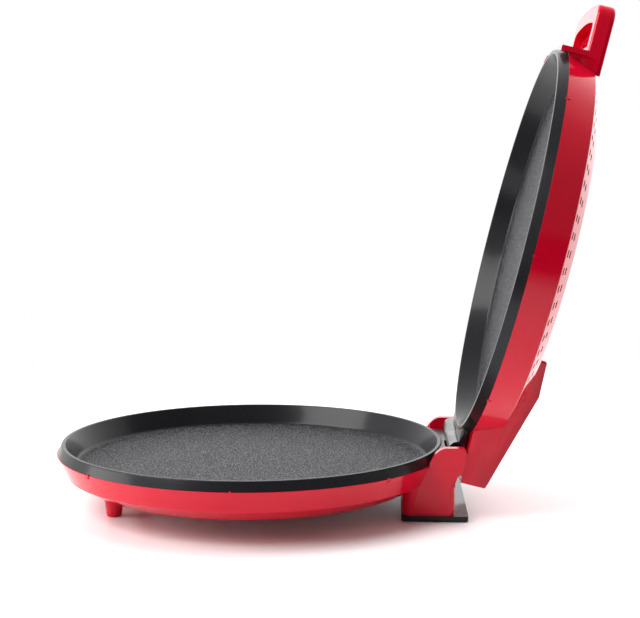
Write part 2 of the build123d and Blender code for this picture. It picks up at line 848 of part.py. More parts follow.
def make_hinge_pin():
    """The pin pressed into the base's knuckle and running in the lid's."""
    start = (-barrel_half_length + pin_inset_far, hinge_y, hinge_z)
    end = (barrel_half_length - pin_inset_near, hinge_y, hinge_z)
    return rod(pin_radius, start, end)


# Lid, in dish coordinates
def hump_points(margin):
    """Side outline of the hump over the hinge, drawn in by a margin."""
    drop = rim_gap
    floor = hump_floor_depth + margin
    slope = math.atan2(hump_ridge_z - hump_back_top, hump_back - hump_ridge_y)
    ridge = hump_ridge_z - drop - margin
    back_top = hump_back_top - drop - margin / math.cos(slope) + margin * math.tan(slope)
    front_floor = hinge_y - ear_front
    return [
        (hump_front + margin, hump_front_depth + margin),
        (hump_front + hump_front_lean + margin, hump_step_top - drop - margin),
        (hump_ridge_y, ridge),
        (hump_back - margin, back_top),
        (hump_back - margin, floor),
        (front_floor + margin, floor),
    ]


def handle_plan(margin, root):
    """Plan of the handle, drawn in by a margin, from its root out to its bowed tip."""
    half = handle_half_width - margin
    centre_y = -handle_tip + handle_bow
    reach = handle_bow - margin
    corner_y = centre_y - math.sqrt(reach ** 2 - half ** 2)
    edges = [
        Line((half, -root), (half, corner_y)),
        ThreePointArc((half, corner_y), (0, centre_y - reach), (-half, corner_y)),
        Line((-half, corner_y), (-half, -root)),
        Line((-half, -root), (half, -root)),
    ]
    face = make_face([edge for piece in edges for edge in piece.edges()])
    corners = [face.vertices().sort_by_distance(Vector(side * half, corner_y))[0] for side in (-1, 1)]
    return fillet(corners, handle_corner - margin)


def recess_plan():
    """Plan of the finger recess in the handle."""
    half = recess_half_width
    centre_y = -recess_tip + recess_bow
    corner_y = centre_y - math.sqrt(recess_bow ** 2 - half ** 2)
    edges = [
        Line((half, -recess_root), (half, corner_y)),
        ThreePointArc((half, corner_y), (0, -recess_tip), (-half, corner_y)),
        Line((-half, corner_y), (-half, -recess_root)),
        Line((-half, -recess_root), (half, -recess_root)),
    ]
    face = make_face(edges)
    corners = [face.vertices().sort_by_distance(Vector(side * half, corner_y))[0] for side in (-1, 1)]
    return fillet(corners, recess_corner)


def insert_depth():
    """How far the handle's insert reaches into the handle."""
    return recess_depth + insert_floor


def insert_plan(margin):
    """Plan of the handle's insert, or with no margin the pocket that it sits in."""
    return handle_plan(handle_lip + margin, recess_root - recess_wall - insert_fit + margin)


def make_handle_slab():
    """The handle's body with its outer edges rounded, stepped in where it roots in the shell."""
    slab = extrude(Pos(0, 0, handle_front) * handle_plan(0, handle_root), handle_back - handle_front)
    for index, radius in ((-1, handle_outer_round), (0, handle_lip_round)):
        face = slab.faces().sort_by(Axis.Z)[index]
        outer_edges = [edge for edge in face.edges() if edge.center().Y < -handle_root - 1]
        slab = fillet(outer_edges, radius)
    points = [(inset_y - shell_radius, handle_front + depth) for inset_y, depth in handle_underside]
    inner = -handle_root + handle_corner
    points = [(points[0][0], handle_front - 1)] + points + [(inner, handle_back), (inner, handle_front - 1)]
    step_x = handle_half_width - handle_root_step
    return slab - [side_plate(points, (-handle_half_width, -step_x)),
                   side_plate(points, (step_x, handle_half_width))]


def make_handle_ledge():
    """The flat ledge below the handle that reaches over the dish's band, and its stepped-in root."""
    ledge = block((-handle_half_width, handle_half_width), (-ledge_outer, -ledge_inner),
                  (ledge_front, handle_front + 1))
    step_x = handle_half_width - handle_root_step
    return ledge + block((-step_x, step_x), (-ledge_inner - 1, -handle_root),
                         (band_depth + ledge_root_gap, handle_front + 1))


def make_handle_insert():
    """The inner half of the handle, with the finger recess in it."""
    body = extrude(Pos(0, 0, handle_front) * insert_plan(insert_fit), insert_depth())
    body -= extrude(Pos(0, 0, handle_front) * recess_plan(), recess_depth)
    hole = rod(screw_radius + screw_hole_fit, (0, 0, handle_front), (0, 0, handle_front + insert_depth()))
    return body - [Pos(side * handle_screw_x, -handle_screw_y, 0) * hole for side in (-1, 1)]


def make_handle_screws():
    """Two screws in the floor of the finger recess."""
    seat = handle_front + recess_depth
    screw = rod(screw_head_radius, (0, 0, seat - screw_head), (0, 0, seat))
    screw += rod(screw_radius, (0, 0, seat), (0, 0, handle_back - handle_screw_cover))
    return [Pos(side * handle_screw_x, -handle_screw_y, 0) * screw for side in (-1, 1)]


def lid_points():
    """Outline of the lid shell from its edge to the axis."""
    return [(shell_radius, band_depth), lid_crease, lid_shoulder, lid_crown_edge, (0, lid_crown)]


def vent_slots():
    """Cutters for the two rings of short vents on the lid's shoulder."""
    fall = lid_shoulder[1] - lid_crease[1]
    run = lid_crease[0] - lid_shoulder[0]
    tilt = math.degrees(math.atan2(fall, run))
    cutters = []
    steps = round(360 / vent_pitch)
    for ring in vent_rings:
        depth = lid_crease[1] + (lid_crease[0] - ring) * fall / run
        slot = Pos(ring, 0, depth) * (Rot(0, tilt, 0) * Box(vent_width, vent_length, 4 * shell_wall))
        for step in range(steps):
            angle = math.radians((step + 0.5) * vent_pitch)
            x = ring * math.cos(angle)
            y = ring * math.sin(angle)
            reach = vent_length / 2 + vent_side_margin
            over_hump = y > 0 and abs(x) < hump_half_width + reach
            over_handle = y < 0 and abs(x) < handle_half_width + reach
            if not over_hump and not over_handle:
                cutters.append(Rot(0, 0, math.degrees(angle)) * slot)
    return cutters


def make_lid_housing():
    """The red lid moulding: shell, vents, hump over the hinge, handle and the ledge below it."""
    rounds = [(1, crease_round), (2, belly_round), (3, belly_round)]
    outer, cavity = shell_forms(lid_points(), rounds)
    hump_width = (-hump_half_width, hump_half_width)
    hump = side_plate(hump_points(0), hump_width, [(1, hump_round), (2, hump_round), (3, hump_round)])
    inner_width = (-hump_half_width + shell_wall, hump_half_width - shell_wall)
    hump_cavity = side_plate(hump_points(shell_wall), inner_width)
    body = outer + hump + make_handle_slab() + make_handle_ledge()
    body -= cavity
    body -= hump_cavity
    body -= rod(band_radius + band_clearance, (0, 0, -1), (0, 0, band_depth))
    body += edge_tabs()
    body -= extrude(Pos(0, 0, handle_front) * insert_plan(0), insert_depth())
    screw_hole = rod(screw_radius, (0, 0, handle_front), (0, 0, handle_back - handle_screw_cover))
    lamp_hole = rod(lamp_radius, (0, 0, hump_step_top - lamp_body_length), (0, 0, hump_ridge_z + 1))
    for side in (-1, 1):
        body -= Pos(side * handle_screw_x, -handle_screw_y, 0) * screw_hole
        body -= Pos(side * lamp_x, lamp_y, 0) * lamp_hole
    body -= vent_slots()
    sleeve_hole = rod(sleeve_radius, (0, 0, lid_axis_depth), (0, 0, hump_floor_depth + shell_wall + 1))
    return body - Pos(sleeve_lid_x, hinge_y, 0) * sleeve_hole


def lamp_top():
    """Depth of the hump's top at the lamps."""
    start = hump_front + hump_front_lean
    share = (lamp_y - start) / (hump_ridge_y - start)
    return hump_step_top + (hump_ridge_z - hump_step_top) * share - rim_gap


def lamp_flange_top():
    """Depth of the top of the lenses' flanges, just behind the hump's wall."""
    return lamp_top() - shell_wall - lamp_lens_set_back


def make_lamp_lens(side):
    """A flush lamp lens in the top of the hump, with a flange behind the wall."""
    flange_top = lamp_flange_top()
    lens = rod(lamp_radius, (0, 0, flange_top), (0, 0, lamp_top() + lamp_lens_proud))
    lens += rod(lamp_flange, (0, 0, flange_top - lamp_flange_thick), (0, 0, flange_top))
    return Pos(side * lamp_x, lamp_y, 0) * lens


def make_lamps():
    """The two small lamps behind the lenses."""
    back = lamp_flange_top() - lamp_flange_thick
    lamp = rod(lamp_body_radius, (0, 0, back - lamp_body_length), (0, 0, back))
    return [Pos(side * lamp_x, lamp_y, 0) * lamp for side in (-1, 1)]


def lid_lead_extras(terminal_depth):
    """Leads from the lid's terminals to the lamps, and from the sleeve to the terminals."""
    back = lamp_flange_top() - lamp_flange_thick - lamp_body_length
    half_length = terminal_block_size[0] / 2
    leads = []
    for side in (-1, 1):
        start_x = side * terminal_spacing / 2
        leads.append(tube_along(
            [
                (start_x, lid_terminal_y - 2, terminal_depth),
                (start_x, lid_terminal_y - 2, terminal_depth + 6),
                (side * lamp_x, lamp_y + 24, back - 3),
                (side * lamp_x, lamp_y, back - 4),
                (side * lamp_x, lamp_y, back),
            ],
            lead_radius * 0.8,
            lead_bend,
        ))
    low = hump_floor_depth + shell_wall
    leads.append(tube_along(
        [
            (half_length, lid_terminal_y, low + 3),
            (sleeve_lid_x - 8, lid_terminal_y, low + 3),
            (sleeve_lid_x, hinge_y, low + 8),
            (sleeve_lid_x, hinge_y, low),
        ],
        lead_radius,
        lead_bend,
    ))
    return leads


def make_lid_lead_sleeve():
    """The sleeve that takes the leads on from the hinge axis into the hump."""
    meet_x = (sleeve_base_x + sleeve_lid_x) / 2 - sleeve_meet_gap / 2
    return tube_along(
        [
            (meet_x, hinge_y, lid_axis_depth),
            (sleeve_lid_x, hinge_y, lid_axis_depth),
            (sleeve_lid_x, hinge_y, hump_floor_depth + shell_wall),
        ],
        sleeve_radius,
        sleeve_bend - 0.9,
    )


def make_reflector_screws():
    """Four screws that hold the lid's reflector to its dish."""
    screw = rod(screw_radius, (0, 0, boss_end - screw_bite), (0, 0, reflector_back))
    screw += rod(screw_head_radius, (0, 0, reflector_back), (0, 0, reflector_back + screw_head))
    return around(screw, boss_angles, boss_ring_radius)


def make_parts():
    """Every node of the base and of the lid, in two groups, with the lid closed."""
    base_axis_depth = -hinge_rise
    base_dish, base_knuckle = dish(base_axis_depth, -1, lug_back)
    base_dish = bored(base_dish, base_knuckle, base_axis_depth, pin_radius, -1)
    lid_dish, lid_knuckle = dish(lid_axis_depth, 1, band_depth)
    lid_dish = bored(lid_dish, lid_knuckle, lid_axis_depth, pin_radius + pin_running_fit, 1)
    shared = {
        "heating_element": [heating_element()],
        "element_beads": element_beads(),
        "element_pins": element_pins(),
        "element_clamps": element_clamps(),
        "clamp_screws": clamp_screws(),
        "reflector": [reflector()],
        "thermostat_cap": [thermostat_cap_piece()],
        "thermostat_body": [thermostat_body()],
        "thermostat_screws": thermostat_screws(),
        "thermal_fuse": [thermal_fuse()],
    }
    base_terminal_top = rim_height - plate_top - terminal_block_size[2]
    base = {f"base_{name}": [to_base(piece) for piece in pieces] for name, pieces in shared.items()}
    base_leads = dish_leads(base_terminal_y, base_terminal_top, lead_depth - 5)
    base.update({
        "base_dish": [to_base(dish_fixings(base_dish))],
        "base_housing": [make_base_housing()],
        "base_wiring": [to_base(lead) for lead in base_leads] + [base_supply_lead()],
        "base_screws": make_base_screws(),
        "base_terminal_block": [terminal_block(base_terminal_y, plate_top, terminal_block_size[2])],
        "base_terminal_screws": terminal_screws(base_terminal_y, plate_top, terminal_block_size[2]),
        "foot_plate": [make_foot_plate()],
        "foot_plate_screws": make_foot_plate_screws(),
        "rear_pads": make_rear_pads(),
        "front_foot_pads": make_front_foot_pads(),
        "cord_gland": [make_cord_gland()],
        "base_lead_sleeve": [make_base_lead_sleeve()],
        "hinge_pin": [make_hinge_pin()],
    })
    lid_floor = hump_floor_depth + shell_wall
    lid_terminal_top = lid_floor + lid_terminal_height
    lid_nodes = dict(shared)
    lid_leads = dish_leads(lid_terminal_y, lid_terminal_top, lid_terminal_top + 6)
    lid_nodes.update({
        "dish": [dish_fixings(lid_dish)],
        "housing": [make_lid_housing()],
        "wiring": lid_leads + lid_lead_extras(lid_terminal_top),
        "reflector_screws": make_reflector_screws(),
        "terminal_block": [terminal_block(lid_terminal_y, lid_floor, lid_terminal_height)],
        "terminal_screws": terminal_screws(lid_terminal_y, lid_floor, lid_terminal_height),
        "lead_sleeve": [make_lid_lead_sleeve()],
        "power_lamp_lens": [make_lamp_lens(-1)],
        "ready_lamp_lens": [make_lamp_lens(1)],
        "lamps": make_lamps(),
    })
    lid = {f"lid_{name}": [to_lid(piece) for piece in pieces] for name, pieces in lid_nodes.items()}
    lid["handle_insert"] = [to_lid(make_handle_insert())]
    lid["handle_screws"] = [to_lid(piece) for piece in make_handle_screws()]
    return base, lid


def main():
    """Build every node, open the lid, centre the object over its origin and write the files."""
    os.makedirs("parts", exist_ok=True)
    base, lid = make_parts()
    nodes = {name: solids_of(pieces) for name, pieces in base.items()}
    hinge = Axis((0, hinge_y, hinge_z), (1, 0, 0))
    for name, pieces in lid.items():
        nodes[name] = [solid.rotate(hinge, -open_angle) for solid in solids_of(pieces)]
    everything = Compound([solid for solids in nodes.values() for solid in solids])
    box = everything.bounding_box()
    shift = -(box.min.Y + box.max.Y) / 2
    for name, solids in nodes.items():
        placed = [Pos(0, shift, 0) * solid for solid in solids]
        shape = placed[0] if len(placed) == 1 else Compound(placed)
        export_step(shape, f"parts/{name}.step")
    print("nodes", len(nodes))
    print("box", box.min, box.max)
    print("dish axis y", round(shift, 4))
    print("hinge axis y", round(hinge_y + shift, 4), "z", round(hinge_z, 4))
    print("cooking floor z", round(rim_height - dish_depth, 4))
    print("gland y", round(post_back + gland_flange_thick + shift, 4))


main()
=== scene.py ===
"""Looks of a round countertop pizza maker with its lid open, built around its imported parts."""
import json
import logging
import math
from dataclasses import dataclass, field
from enum import Enum

import bpy
import numpy as np
from mathutils import Matrix, Vector


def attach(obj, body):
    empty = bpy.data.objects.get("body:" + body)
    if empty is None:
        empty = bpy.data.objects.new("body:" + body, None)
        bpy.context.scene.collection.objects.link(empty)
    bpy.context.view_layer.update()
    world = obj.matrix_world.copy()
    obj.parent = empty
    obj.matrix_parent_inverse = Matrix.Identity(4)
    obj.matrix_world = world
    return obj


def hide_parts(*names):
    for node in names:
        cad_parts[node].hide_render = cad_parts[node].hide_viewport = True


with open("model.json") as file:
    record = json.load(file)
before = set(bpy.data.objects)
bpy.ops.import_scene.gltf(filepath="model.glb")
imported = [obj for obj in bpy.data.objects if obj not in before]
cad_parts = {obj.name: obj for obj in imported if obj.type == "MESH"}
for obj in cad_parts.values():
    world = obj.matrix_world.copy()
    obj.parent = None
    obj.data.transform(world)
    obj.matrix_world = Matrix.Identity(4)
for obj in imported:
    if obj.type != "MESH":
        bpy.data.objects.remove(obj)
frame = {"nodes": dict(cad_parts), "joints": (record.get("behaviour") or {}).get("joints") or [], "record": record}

LOG = logging.getLogger("pizza_maker")
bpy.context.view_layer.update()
MM = 0.001
NEARLY_ZERO = 1e-9
UPRIGHT = Vector((0.0, 0.0, 1.0))
Colour = tuple[float, float, float]
Point = tuple[float, float, float]
Pair = tuple[float, float]


class Body(Enum):
    """The two bodies that pieces ride on."""

    BASE = "base"
    LID = "lid"


class Value:
    """A number that varies over a surface, wrapping a socket so that operators add Math nodes."""

    def __init__(self, graph: "ShaderGraph", socket: bpy.types.NodeSocket) -> None:
        """Wrap a socket.

        Args:
            graph: The graph that the socket belongs to.
            socket: The output socket to read.
        """
        self.graph = graph
        self.socket = socket

    def _math(self, operation: str, *others: "Value | float") -> "Value":
        """Add one Math node.

        Args:
            operation: The node's operation.
            others: The values after this one.

        Returns:
            The node's result.
        """
        inputs = {index + 1: other for index, other in enumerate(others)}
        made = self.graph.node("ShaderNodeMath", {"operation": operation}, {0: self, **inputs})
        return Value(self.graph, made.outputs[0])

    def __add__(self, other: "Value | float") -> "Value":
        """Sum of two values."""
        return self._math("ADD", other)

    def __radd__(self, other: float) -> "Value":
        """Sum with a plain number first."""
        return self._math("ADD", other)

    def __sub__(self, other: "Value | float") -> "Value":
        """Difference of two values."""
        return self._math("SUBTRACT", other)

    def __rsub__(self, other: float) -> "Value":
        """A plain number less this value."""
        return (self * -1.0) + other

    def __mul__(self, other: "Value | float") -> "Value":
        """Product of two values."""
        return self._math("MULTIPLY", other)

    def __rmul__(self, other: float) -> "Value":
        """Product with a plain number first."""
        return self._math("MULTIPLY", other)

    def __pow__(self, power: float) -> "Value":
        """This value to a power."""
        return self._math("POWER", power)

    def clamped(self) -> "Value":
        """The value held between zero and one."""
        return self._math("MAXIMUM", 0.0)._math("MINIMUM", 1.0)

    def ramp(self, low: float, high: float) -> "Value":
        """Zero at the low value rising to one at the high value.

        Args:
            low: Where the result is zero.
            high: Where the result is one, which may be the smaller number.

        Returns:
            The ramped value.
        """
        return ((self - low) * (1.0 / (high - low))).clamped()


class ShaderGraph:
    """The nodes of a material or a world, made one at a time by a single method."""

    NOISE_ROUGHNESS = 0.55
    FIRST_COLOUR = 6
    SECOND_COLOUR = 7
    MIXED_COLOUR = 2

    def __init__(self, owner: bpy.types.Material | bpy.types.World) -> None:
        """Start with no nodes.

        Args:
            owner: The material or world.
        """
        self.owner = owner
        owner.use_nodes = True
        self.tree = owner.node_tree
        self.tree.nodes.clear()

    @classmethod
    def of_material(cls, name: str) -> "ShaderGraph":
        """Start a new material."""
        return cls(bpy.data.materials.new(name))

    def node(
        self, kind: str, settings: dict | None = None, inputs: dict | None = None
    ) -> bpy.types.Node:
        """Add a node, set it, then feed its sockets.

        Args:
            kind: The node's type.
            settings: Attribute values.
            inputs: Values, colours or links by socket name or number.

        Returns:
            The node.
        """
        made = self.tree.nodes.new(kind)
        for name, value in (settings or {}).items():
            setattr(made, name, value)
        for key, value in (inputs or {}).items():
            socket = made.inputs[key]
            if isinstance(value, Value):
                self.tree.links.new(value.socket, socket)
            elif isinstance(value, bpy.types.NodeSocket):
                self.tree.links.new(value, socket)
            else:
                socket.default_value = value
        return made

    def coordinates(self, centre: Vector | None = None, turn: float = 0.0) -> bpy.types.NodeSocket:
        """Object coordinates, centred and turned about X if asked.

        Args:
            centre: The point that becomes the origin.
            turn: The angle about X that the pattern is turned by, in radians.

        Returns:
            The vector socket.
        """
        source = self.node("ShaderNodeTexCoord").outputs["Object"]
        if centre is None:
            return source
        placed = self.node(
            "ShaderNodeMapping",
            {"vector_type": "TEXTURE"},
            {"Vector": source, "Location": centre, "Rotation": (turn, 0.0, 0.0)},
        )
        return placed.outputs[0]

    def split(self, vector: bpy.types.NodeSocket) -> tuple[Value, ...]:
        """The three components of a vector."""
        parts = self.node("ShaderNodeSeparateXYZ", {}, {0: vector})
        return tuple(Value(self, part) for part in parts.outputs)

    def noise(self, vector: bpy.types.NodeSocket, per_metre: float, detail: float = 2.0) -> Value:
        """A noise pattern.

        Args:
            vector: The coordinates.
            per_metre: How many blobs lie along a metre.
            detail: How many finer layers it has.

        Returns:
            The noise, about 0.5 on average.
        """
        made = self.node(
            "ShaderNodeTexNoise",
            {},
            {"Vector": vector, "Scale": per_metre, "Detail": detail, "Roughness": self.NOISE_ROUGHNESS},
        )
        return Value(self, made.outputs["Fac"])

    def mix(self, share: Value, first: Colour, second: Colour) -> bpy.types.NodeSocket:
        """Blend two colours.

        Args:
            share: Zero for the first colour, one for the second.
            first: The first colour.
            second: The second colour.

        Returns:
            The colour socket.
        """
        made = self.node(
            "ShaderNodeMix",
            {"data_type": "RGBA"},
            {"Factor": share, self.FIRST_COLOUR: (*first, 1.0), self.SECOND_COLOUR: (*second, 1.0)},
        )
        return made.outputs[self.MIXED_COLOUR]

    def bump(self, height: Value, distance: float) -> bpy.types.NodeSocket:
        """Turn a height into a normal.

        Args:
            height: The height pattern.
            distance: The real height of one unit, in metres.

        Returns:
            The normal socket.
        """
        made = self.node("ShaderNodeBump", {}, {"Height": height, "Distance": distance, "Strength": 1.0})
        return made.outputs[0]

    def surface(self, **inputs: object) -> bpy.types.Material:
        """Close a material with a Principled shader.

        Args:
            inputs: Socket values by name, with underscores for spaces.

        Returns:
            The finished material.
        """
        named = {key.replace("_", " "): value for key, value in inputs.items()}
        if isinstance(named.get("Base Color"), tuple):
            named["Base Color"] = (*named["Base Color"], 1.0)
        shader = self.node("ShaderNodeBsdfPrincipled", {}, named)
        self.node("ShaderNodeOutputMaterial", {}, {"Surface": shader.outputs[0]})
        return self.owner


@dataclass(frozen=True)
class GlossMoulding:
    """Glossy moulded plastic with a faint flow ripple and fine handling marks."""

    name: str
    colour: Colour
    shade: Colour
    roughness: float = 0.1
    coat: float = 0.1
    coat_roughness: float = 0.05
    ior: float = 1.33
    flow_per_metre: float = 14.0
    ripple_per_metre: float = 90.0
    marks_per_metre: float = 60.0
    fine_per_metre: float = 420.0
    shade_span: Pair = (0.35, 0.7)
    marks_span: Pair = (0.6, 0.75)
    fine_roughness: float = 0.04
    flow_roughness: float = 0.03
    marks_roughness: float = 0.05
    mean_roughness: float = 0.04
    fine_height: float = 0.12
    ripple_height: float = 0.008 * MM

    def material(self) -> bpy.types.Material:
        """Build the finish.

        Returns:
            The material.
        """
        graph = ShaderGraph.of_material(self.name)
        place = graph.coordinates()
        flow = graph.noise(place, self.flow_per_metre)
        fine = graph.noise(place, self.fine_per_metre, detail=3.0)
        marks = graph.noise(place, self.marks_per_metre, detail=4.0).ramp(*self.marks_span)
        ripple = graph.noise(place, self.ripple_per_metre, detail=1.0) + fine * self.fine_height
        rough = fine * self.fine_roughness + flow * self.flow_roughness + marks * self.marks_roughness
        return graph.surface(
            Base_Color=graph.mix(flow.ramp(*self.shade_span), self.colour, self.shade),
            Roughness=rough + (self.roughness - self.mean_roughness),
            Normal=graph.bump(ripple, self.ripple_height),
            Coat_Weight=self.coat,
            Coat_Roughness=self.coat_roughness,
            IOR=self.ior,
        )


@dataclass(frozen=True)
class NonStick:
    """Dark non-stick coating, smooth on the walls and speckled on the dish floor."""

    name: str
    centre: Vector
    turn: float
    floor_radius: float
    floor_depth: float
    colour: Colour = (0.009, 0.009, 0.011)
    fleck: Colour = (0.22, 0.22, 0.23)
    grain_per_metre: float = 700.0
    fleck_per_metre: float = 930.0
    fleck_span: Pair = (0.53, 0.61)
    floor_fleck: float = 0.8
    wall_fleck: float = 0.02
    roughness: float = 0.26
    grain_roughness: float = 0.12
    floor_roughness: float = 0.22
    floor_height: float = 2.4
    wall_height: float = 0.14
    grain_height: float = 0.22 * MM
    edge_outside: float = 1.0 * MM
    edge_inside: float = 3.0 * MM
    rise_from: float = 3.0 * MM
    rise_to: float = 0.5 * MM
    barrel_span: Pair = (157.0 * MM, 160.0 * MM)
    coat: float = 0.25
    floor_coat: float = 0.22
    barrel_coat: float = 0.35
    coat_roughness: float = 0.14
    ior: float = 1.22

    def floor_share(self, x: Value, y: Value, z: Value) -> Value:
        """One on the dish's floor and zero on its walls, rim and back.

        Args:
            x: The distance across, from the rim's middle.
            y: The distance towards the hinge.
            z: The distance along the dish's axis.

        Returns:
            The share.
        """
        radius = (x * x + y * y) ** 0.5
        depth = (z * z) ** 0.5
        inside = radius.ramp(self.floor_radius + self.edge_outside, self.floor_radius - self.edge_inside)
        return inside * depth.ramp(self.floor_depth - self.rise_from, self.floor_depth - self.rise_to)

    def material(self) -> bpy.types.Material:
        """Build the finish.

        Returns:
            The material.
        """
        graph = ShaderGraph.of_material(self.name)
        place = graph.coordinates(self.centre, self.turn)
        x, y, z = graph.split(place)
        floor = self.floor_share(x, y, z)
        barrel = y.ramp(*self.barrel_span)
        grain = graph.noise(place, self.grain_per_metre, detail=3.0)
        specks = graph.noise(place, self.fleck_per_metre).ramp(*self.fleck_span)
        shown = specks * (floor * self.floor_fleck + self.wall_fleck)
        height = grain * (floor * self.floor_height + self.wall_height)
        return graph.surface(
            Base_Color=graph.mix(shown, self.colour, self.fleck),
            Roughness=grain * self.grain_roughness + floor * self.floor_roughness + self.roughness,
            Normal=graph.bump(height, self.grain_height),
            IOR=self.ior,
            Coat_Weight=self.coat - floor * self.floor_coat + barrel * self.barrel_coat,
            Coat_Roughness=self.coat_roughness,
        )


@dataclass(frozen=True)
class MattMoulding:
    """Matt plastic, rubber, ceramic or braid with a fine grain."""

    name: str
    colour: Colour
    shade: Colour
    roughness: float = 0.6
    per_metre: float = 700.0
    shade_span: Pair = (0.35, 0.7)
    grain_roughness: float = 0.15
    mean_roughness: float = 0.07
    grain_height: float = 0.04 * MM

    def material(self) -> bpy.types.Material:
        """Build the finish.

        Returns:
            The material.
        """
        graph = ShaderGraph.of_material(self.name)
        grain = graph.noise(graph.coordinates(), self.per_metre, detail=3.0)
        return graph.surface(
            Base_Color=graph.mix(grain.ramp(*self.shade_span), self.colour, self.shade),
            Roughness=grain * self.grain_roughness + (self.roughness - self.mean_roughness),
            Normal=graph.bump(grain, self.grain_height),
        )


@dataclass(frozen=True)
class PlatedMetal:
    """Metal with fine drawing lines and a little tarnish."""

    name: str
    colour: Colour
    tarnish: Colour
    roughness: float = 0.3
    stain_per_metre: float = 60.0
    lines_per_metre: float = 1400.0
    stain_span: Pair = (0.5, 0.8)
    most_tarnish: float = 0.6
    lines_roughness: float = 0.12
    stain_roughness: float = 0.1
    mean_roughness: float = 0.1
    lines_height: float = 0.01 * MM

    def material(self) -> bpy.types.Material:
        """Build the finish.

        Returns:
            The material.
        """
        graph = ShaderGraph.of_material(self.name)
        place = graph.coordinates()
        stain = graph.noise(place, self.stain_per_metre, detail=4.0)
        lines = graph.noise(place, self.lines_per_metre, detail=1.0)
        tarnished = stain.ramp(*self.stain_span) * self.most_tarnish
        rough = lines * self.lines_roughness + stain * self.stain_roughness
        return graph.surface(
            Base_Color=graph.mix(tarnished, self.colour, self.tarnish),
            Metallic=1.0,
            Roughness=rough + (self.roughness - self.mean_roughness),
            Normal=graph.bump(lines, self.lines_height),
        )


@dataclass(frozen=True)
class LampLens:
    """Glossy tinted plastic over a small lamp."""

    name: str
    colour: Colour
    deepening: float = 0.5
    ribs_per_metre: float = 900.0
    ribs_roughness: float = 0.05
    roughness: float = 0.06
    ribs_height: float = 0.02 * MM
    coat: float = 0.6

    def material(self) -> bpy.types.Material:
        """Build the finish.

        Returns:
            The material.
        """
        graph = ShaderGraph.of_material(self.name)
        ribs = graph.noise(graph.coordinates(), self.ribs_per_metre, detail=1.0)
        deep = tuple(channel * self.deepening for channel in self.colour)
        return graph.surface(
            Base_Color=graph.mix(ribs, self.colour, deep),
            Roughness=ribs * self.ribs_roughness + self.roughness,
            Normal=graph.bump(ribs, self.ribs_height),
            Coat_Weight=self.coat,
        )


@dataclass
class Hinge:
    """Where the lid turns, how far it stands open, and where the lower dish lies from it."""

    y: float = field(default_factory=lambda: frame["joints"][0]["pos_m"][1])
    z: float = field(default_factory=lambda: frame["joints"][0]["pos_m"][2])
    open_angle: float = field(
        default_factory=lambda: math.radians(-frame["joints"][0]["range_deg"][0])
    )
    dish_reach: float = 166.5 * MM
    rim_height: float = 51.5 * MM

    def rim_centre(self) -> Vector:
        """The middle of the lower dish's rim."""
        return Vector((0.0, self.y - self.dish_reach, self.rim_height))

    def opened(self) -> Matrix:
        """The matrix that takes a point of the closed lid to the open one.

        Returns:
            The matrix.
        """
        centre = Vector((0.0, self.y, self.z))
        turn = Matrix.Rotation(-self.open_angle, 4, "X")
        return Matrix.Translation(centre) @ turn @ Matrix.Translation(-centre)


